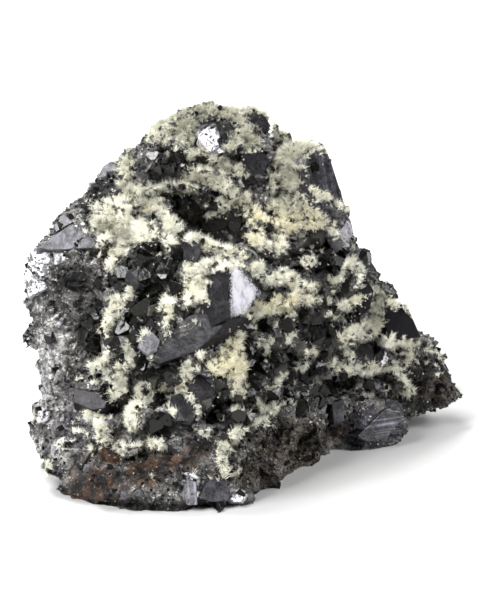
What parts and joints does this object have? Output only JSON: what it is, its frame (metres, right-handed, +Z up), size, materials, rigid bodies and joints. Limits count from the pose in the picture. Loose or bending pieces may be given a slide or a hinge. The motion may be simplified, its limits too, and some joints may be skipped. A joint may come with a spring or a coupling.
{
  "type": "galena specimen",
  "caption": "Rough lump of galena ore with cubic crystals, black sphalerite and pale needle druse on its front, a natural mineral specimen for display on its flat base",
  "frame": {"origin": "on the flat base that the specimen rests on, near the middle of its footprint", "axes": "X runs along the width, with the low tail at +X; Y runs from the crystal-covered front at -Y to the back; Z is up"},
  "size_m": [0.1467, 0.0983, 0.1162],
  "materials": {
    "galena": "lead-grey metallic ore, bright on fresh cleavage, dull and dark where it is granular",
    "sphalerite": "near-black crystals with a resinous to glassy gloss, opaque",
    "druse": "cream to yellow-green crust of fine pale needles, soft and matt",
    "rust": "rust-brown iron stain and pink-brown massive carbonate, rough and matt"
  },
  "bodies": {
    "root": {"galena_specimen": "galena"}
  },
  "joints": []
}
